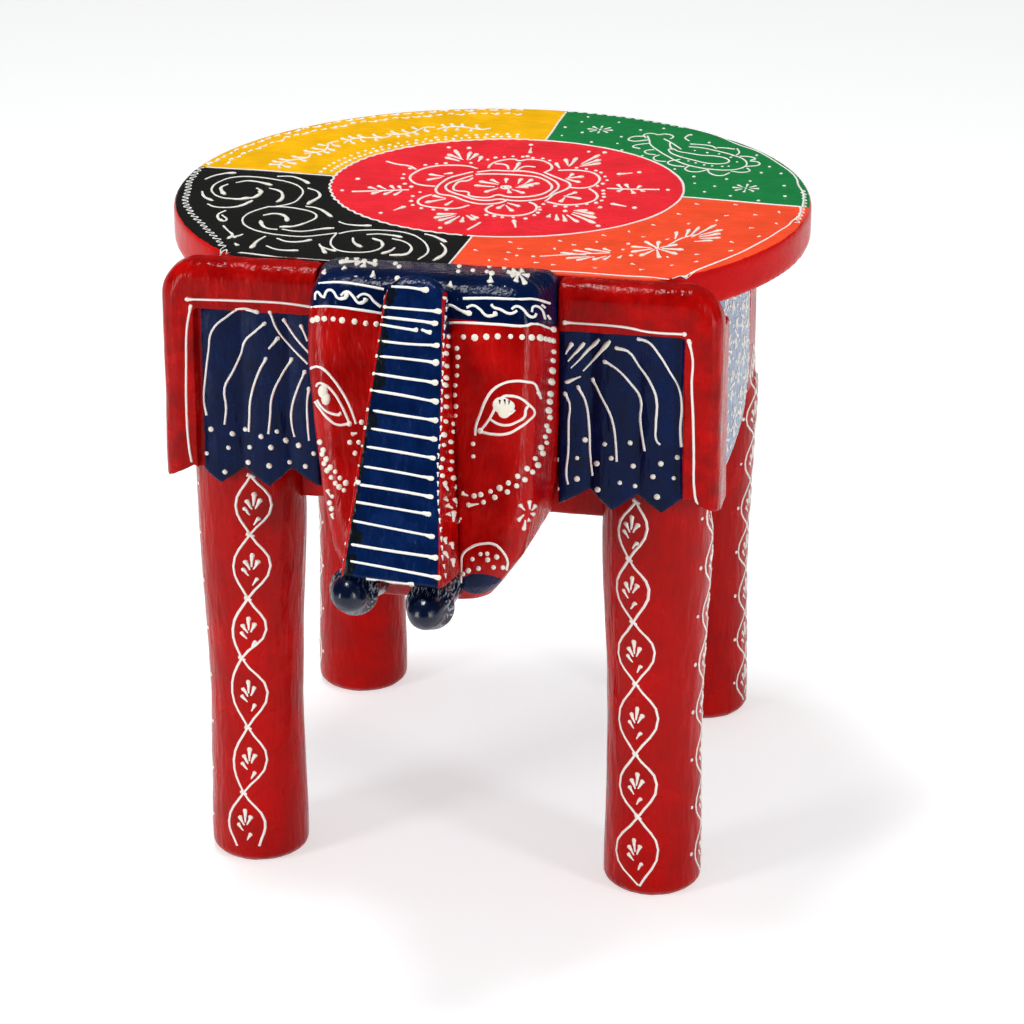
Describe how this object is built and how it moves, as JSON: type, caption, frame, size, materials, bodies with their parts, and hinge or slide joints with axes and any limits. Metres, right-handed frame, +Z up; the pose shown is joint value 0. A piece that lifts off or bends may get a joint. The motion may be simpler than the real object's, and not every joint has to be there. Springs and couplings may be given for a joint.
{
  "type": "elephant stool",
  "caption": "Low carved and painted wooden stool with a round seat, four round legs and an elephant's head, ears and trunk at the front.",
  "frame": {"origin": "on the floor under the middle of the stool's length and width", "axes": "+Z up, -Y towards the elephant's trunk, +X to the right as seen from the front"},
  "size_m": [0.302, 0.3826, 0.315],
  "materials": {
    "seat_paint": "gloss lacquer over hand-painted sectors",
    "leg_paint": "gloss lacquer over deep red paint",
    "body_paint": "gloss lacquer over slate blue paint",
    "head_paint": "gloss lacquer over deep red and navy paint",
    "trunk_paint": "gloss lacquer over navy paint",
    "ear_paint": "gloss lacquer over red border and navy field",
    "tusk_paint": "gloss lacquer over navy paint",
    "tail_paint": "gloss lacquer over navy paint",
    "dowel_wood": "sanded bare wood",
    "screw_steel": "zinc plated"
  },
  "bodies": {
    "root": {"seat_top": "seat_paint", "seat_plugs": "seat_paint", "leg_front_left": "leg_paint", "leg_front_right": "leg_paint", "leg_rear_left": "leg_paint", "leg_rear_right": "leg_paint", "front_block": "body_paint", "rear_block": "body_paint", "side_panel_left": "body_paint", "side_panel_right": "body_paint", "head_block": "head_paint", "trunk": "trunk_paint", "ear_left": "ear_paint", "ear_right": "ear_paint", "tusk_left": "tusk_paint", "tusk_right": "tusk_paint", "tail": "tail_paint", "block_dowels": "dowel_wood", "panel_dowels": "dowel_wood", "trunk_dowels": "dowel_wood", "tail_dowel": "dowel_wood", "seat_screws": "screw_steel", "head_screws": "screw_steel", "ear_screws": "screw_steel"}
  },
  "joints": []
}
